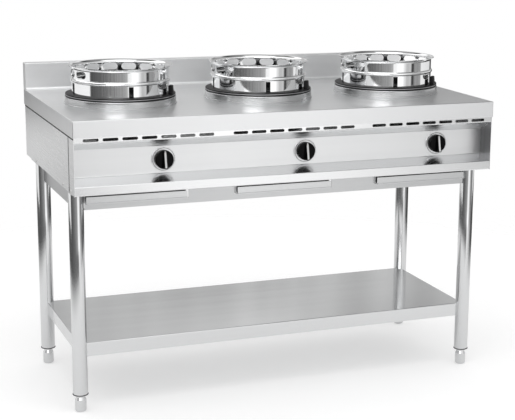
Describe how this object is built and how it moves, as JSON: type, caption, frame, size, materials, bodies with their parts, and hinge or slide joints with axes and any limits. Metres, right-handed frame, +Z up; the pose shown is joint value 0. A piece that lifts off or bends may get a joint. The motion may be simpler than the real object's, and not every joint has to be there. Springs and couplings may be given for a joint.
{
  "type": "wok range",
  "caption": "Freestanding stainless-steel gas wok range with a row of ring-topped burners, recessed control panel, drip trays, round legs and an undershelf.",
  "frame": {"origin": "on the floor, under the middle of the worktop", "axes": "+X to the right of a person who stands in front of the range, -Y towards that person, +Z up"},
  "size_m": [1.2, 0.64, 0.9046],
  "materials": {
    "brushed_sheet": "satin brushed stainless sheet",
    "collar_steel": "turned and brushed round",
    "ring_steel": "mirror polished stainless steel",
    "tube_steel": "polished stainless tube",
    "black_iron": "black enamelled cast iron",
    "burner_iron": "raw cast iron, heat darkened",
    "frame_steel": "galvanised steel",
    "fastener_steel": "bright steel",
    "tap_brass": "machined brass",
    "pilot_steel": "heat-tinted steel",
    "dial_metal": "satin anodised, light grey",
    "knob_plastic": "black moulded plastic"
  },
  "bodies": {
    "range": {"worktop": "brushed_sheet", "backsplash": "brushed_sheet", "side_panel_left": "brushed_sheet", "side_panel_right": "brushed_sheet", "fascia_cheek_left": "brushed_sheet", "fascia_cheek_right": "brushed_sheet", "front_fascia": "brushed_sheet", "back_panel": "brushed_sheet", "shelf": "brushed_sheet", "front_beam": "brushed_sheet", "rear_beam": "brushed_sheet", "side_beams": "brushed_sheet", "burner_collar_left": "collar_steel", "burner_collar_centre": "collar_steel", "burner_collar_right": "collar_steel", "leg_front_left": "tube_steel", "leg_front_right": "tube_steel", "leg_back_left": "tube_steel", "leg_back_right": "tube_steel", "burner_left": "burner_iron", "burner_centre": "burner_iron", "burner_right": "burner_iron", "base_bearers": "frame_steel", "burner_crossbars": "frame_steel", "tray_runners": "frame_steel", "corner_plates": "frame_steel", "foot_inserts": "frame_steel", "gas_manifold": "frame_steel", "side_screws": "fastener_steel", "leg_bolts": "fastener_steel", "gas_inlet": "fastener_steel", "feed_tubes": "tap_brass", "gas_tap_left": "tap_brass", "gas_tap_centre": "tap_brass", "gas_tap_right": "tap_brass", "pilot_burners": "pilot_steel", "knob_bezels": "dial_metal"},
    "rotor_left": {"tap_rotor_left": "tap_brass"},
    "control_left": {"knob_left": "knob_plastic", "tap_spindle_left": "tap_brass"},
    "plate_left": {"burner_plate_left": "black_iron"},
    "ring_left": {"wok_ring_left": "ring_steel"},
    "tray_left": {"drip_tray_left": "brushed_sheet"},
    "rotor_centre": {"tap_rotor_centre": "tap_brass"},
    "control_centre": {"knob_centre": "knob_plastic", "tap_spindle_centre": "tap_brass"},
    "plate_centre": {"burner_plate_centre": "black_iron"},
    "ring_centre": {"wok_ring_centre": "ring_steel"},
    "tray_centre": {"drip_tray_centre": "brushed_sheet"},
    "rotor_right": {"tap_rotor_right": "tap_brass"},
    "control_right": {"knob_right": "knob_plastic", "tap_spindle_right": "tap_brass"},
    "plate_right": {"burner_plate_right": "black_iron"},
    "ring_right": {"wok_ring_right": "ring_steel"},
    "tray_right": {"drip_tray_right": "brushed_sheet"},
    "adjuster_front_left": {"foot_front_left": "tube_steel"},
    "adjuster_front_right": {"foot_front_right": "tube_steel"},
    "adjuster_back_left": {"foot_back_left": "tube_steel"},
    "adjuster_back_right": {"foot_back_right": "tube_steel"}
  },
  "joints": [
    {"name": "tap_turn_left", "type": "hinge", "parent": "range", "child": "rotor_left", "pos_m": [-0.348, -0.25, 0.68], "axis": [0, -1, 0], "range_deg": [0, 180]},
    {"name": "knob_push_left", "type": "slide", "parent": "rotor_left", "child": "control_left", "axis": [0, 1, 0], "range_m": [0, 0.004], "stiffness_N_per_m": 800, "springref_m": -0.003},
    {"name": "plate_lift_left", "type": "slide", "parent": "range", "child": "plate_left", "axis": [0, 0, 1], "range_m": [0, 0.05]},
    {"name": "ring_lift_left", "type": "slide", "parent": "plate_left", "child": "ring_left", "axis": [0, 0, 1], "range_m": [0, 0.12]},
    {"name": "tray_slide_left", "type": "slide", "parent": "range", "child": "tray_left", "axis": [0, -1, 0], "range_m": [0, 0.35]},
    {"name": "tap_turn_centre", "type": "hinge", "parent": "range", "child": "rotor_centre", "pos_m": [0.052, -0.25, 0.68], "axis": [0, -1, 0], "range_deg": [0, 180]},
    {"name": "knob_push_centre", "type": "slide", "parent": "rotor_centre", "child": "control_centre", "axis": [0, 1, 0], "range_m": [0, 0.004], "stiffness_N_per_m": 800, "springref_m": -0.003},
    {"name": "plate_lift_centre", "type": "slide", "parent": "range", "child": "plate_centre", "axis": [0, 0, 1], "range_m": [0, 0.05]},
    {"name": "ring_lift_centre", "type": "slide", "parent": "plate_centre", "child": "ring_centre", "axis": [0, 0, 1], "range_m": [0, 0.12]},
    {"name": "tray_slide_centre", "type": "slide", "parent": "range", "child": "tray_centre", "axis": [0, -1, 0], "range_m": [0, 0.35]},
    {"name": "tap_turn_right", "type": "hinge", "parent": "range", "child": "rotor_right", "pos_m": [0.452, -0.25, 0.68], "axis": [0, -1, 0], "range_deg": [0, 180]},
    {"name": "knob_push_right", "type": "slide", "parent": "rotor_right", "child": "control_right", "axis": [0, 1, 0], "range_m": [0, 0.004], "stiffness_N_per_m": 800, "springref_m": -0.003},
    {"name": "plate_lift_right", "type": "slide", "parent": "range", "child": "plate_right", "axis": [0, 0, 1], "range_m": [0, 0.05]},
    {"name": "ring_lift_right", "type": "slide", "parent": "plate_right", "child": "ring_right", "axis": [0, 0, 1], "range_m": [0, 0.12]},
    {"name": "tray_slide_right", "type": "slide", "parent": "range", "child": "tray_right", "axis": [0, -1, 0], "range_m": [0, 0.35]},
    {"name": "foot_screw_front_left", "type": "slide", "parent": "range", "child": "adjuster_front_left", "axis": [0, 0, -1], "range_m": [0, 0.02]},
    {"name": "foot_screw_front_right", "type": "slide", "parent": "range", "child": "adjuster_front_right", "axis": [0, 0, -1], "range_m": [0, 0.02]},
    {"name": "foot_screw_back_left", "type": "slide", "parent": "range", "child": "adjuster_back_left", "axis": [0, 0, -1], "range_m": [0, 0.02]},
    {"name": "foot_screw_back_right", "type": "slide", "parent": "range", "child": "adjuster_back_right", "axis": [0, 0, -1], "range_m": [0, 0.02]}
  ]
}
